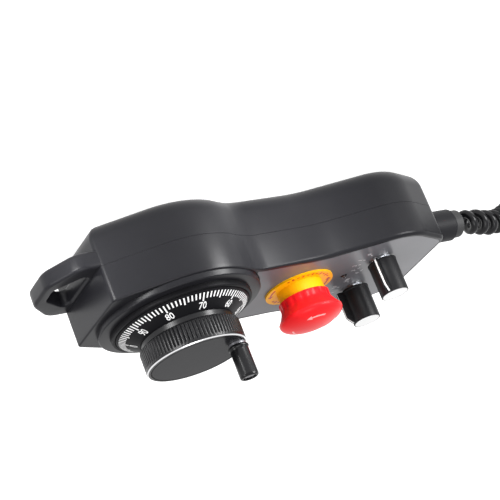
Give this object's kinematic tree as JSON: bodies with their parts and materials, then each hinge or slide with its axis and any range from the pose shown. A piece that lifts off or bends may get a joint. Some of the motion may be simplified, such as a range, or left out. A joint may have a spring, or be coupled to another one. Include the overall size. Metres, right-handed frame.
{
  "type": "manual pulse generator pendant",
  "caption": "Hand-held control pendant with a graduated cone dial, fluted handwheel and crank, mushroom stop button, selector knobs, hang loop and curly cord.",
  "frame": {"origin": "on the flat back of the housing, under the axis of the dial", "axes": "+Z out of the front panel along the dial axis, +X toward the head and hang loop, the cable leaves toward -X, the left and right sides are mirror images in Y"},
  "size_m": [0.4622, 0.1343, 0.1005],
  "materials": {
    "housing": "satin moulded plastic, near black",
    "seal_rubber": "matt",
    "screw_steel": "zinc plated",
    "panel": "satin grey",
    "dial_black": "satin black with white graduation",
    "can_metal": "satin",
    "bearing_steel": "ground",
    "disc_glass": "clear with etched lines",
    "board_green": "solder mask",
    "terminal_green": "moulded",
    "wheel_black": "black anodised, fluted, bright cut edge",
    "face_gloss": "high gloss",
    "grip_black": "polished",
    "stop_yellow": "moulded",
    "nut_grey": "moulded",
    "block_grey": "moulded",
    "plunger_white": "moulded",
    "stop_red": "moulded",
    "switch_blue": "moulded",
    "nut_chrome": "plated",
    "knob_black": "moulded",
    "cap_white": "moulded",
    "lamp_red": "tinted lens, unlit",
    "gland_black": "moulded nylon",
    "sleeve_rubber": "matt",
    "cord_black": "polyurethane jacket, low gloss",
    "tie_black": "hook and loop strap",
    "plug_metal": "satin",
    "plug_chrome": "nickel plated",
    "plug_insert": "moulded"
  },
  "bodies": {
    "housing": {"front_shell": "housing", "back_shell": "housing", "hang_loop": "housing", "shell_seal": "seal_rubber", "shell_screws": "screw_steel", "panel_plate": "panel", "encoder_flange": "dial_black", "encoder_can": "can_metal", "encoder_screws": "screw_steel", "encoder_bearings": "bearing_steel", "encoder_board": "board_green", "encoder_terminals": "terminal_green", "estop_legend_ring": "stop_yellow", "estop_collar": "stop_yellow", "estop_lock_nut": "nut_grey", "estop_contact_block": "block_grey", "axis_switch": "switch_blue", "axis_switch_nut": "nut_chrome", "range_switch": "switch_blue", "range_switch_nut": "nut_chrome", "power_lamp": "lamp_red", "power_lamp_nut": "nut_grey", "gland_body": "gland_black", "gland_nut": "gland_black", "gland_sleeve": "sleeve_rubber", "gland_locknut": "gland_black", "inner_cable": "cord_black", "curly_cord": "cord_black", "cord_tail": "cord_black", "cord_tie": "tie_black", "plug_shell": "plug_metal", "plug_insert": "plug_insert"},
    "handwheel": {"encoder_shaft": "bearing_steel", "code_disc": "disc_glass", "graduated_dial": "dial_black", "handwheel": "wheel_black", "hub_nut": "screw_steel", "wheel_face_plate": "face_gloss", "crank_washer": "can_metal", "crank_pin": "screw_steel"},
    "crank": {"crank_grip": "grip_black"},
    "stop_plunger": {"estop_plunger": "plunger_white"},
    "stop_head": {"estop_button": "stop_red"},
    "axis_selector": {"axis_switch_shaft": "nut_chrome", "axis_knob": "knob_black", "axis_knob_cap": "cap_white"},
    "range_selector": {"range_switch_shaft": "nut_chrome", "range_knob": "knob_black", "range_knob_cap": "cap_white"},
    "plug_ring": {"plug_ring": "plug_chrome"}
  },
  "joints": [
    {"name": "wheel_spin", "type": "hinge", "parent": "housing", "child": "handwheel", "pos_m": [0, 0, 0.06], "axis": [0, 0, 1], "continuous": true},
    {"name": "crank_spin", "type": "hinge", "parent": "handwheel", "child": "crank", "pos_m": [-0.02051, -0.01208, 0.09], "axis": [0, 0, 1], "continuous": true},
    {"name": "stop_push", "type": "slide", "parent": "housing", "child": "stop_plunger", "axis": [0, 0, -1], "range_m": [0, 0.004], "stiffness_N_per_m": 600, "springref_m": -0.001},
    {"name": "stop_twist", "type": "hinge", "parent": "stop_plunger", "child": "stop_head", "pos_m": [-0.082, 0, 0.06], "axis": [0, 0, -1], "range_deg": [0, 40], "stiffness_Nm_per_rad": 0.02},
    {"name": "axis_turn", "type": "hinge", "parent": "housing", "child": "axis_selector", "pos_m": [-0.1315, -0.0186, 0.06], "axis": [0, 0, 1], "range_deg": [0, 96]},
    {"name": "range_turn", "type": "hinge", "parent": "housing", "child": "range_selector", "pos_m": [-0.1315, 0.0186, 0.06], "axis": [0, 0, 1], "range_deg": [-60, 0]},
    {"name": "ring_turn", "type": "hinge", "parent": "housing", "child": "plug_ring", "pos_m": [-0.334, -0.026, 0.0092], "axis": [1, 0, 0], "continuous": true}
  ]
}
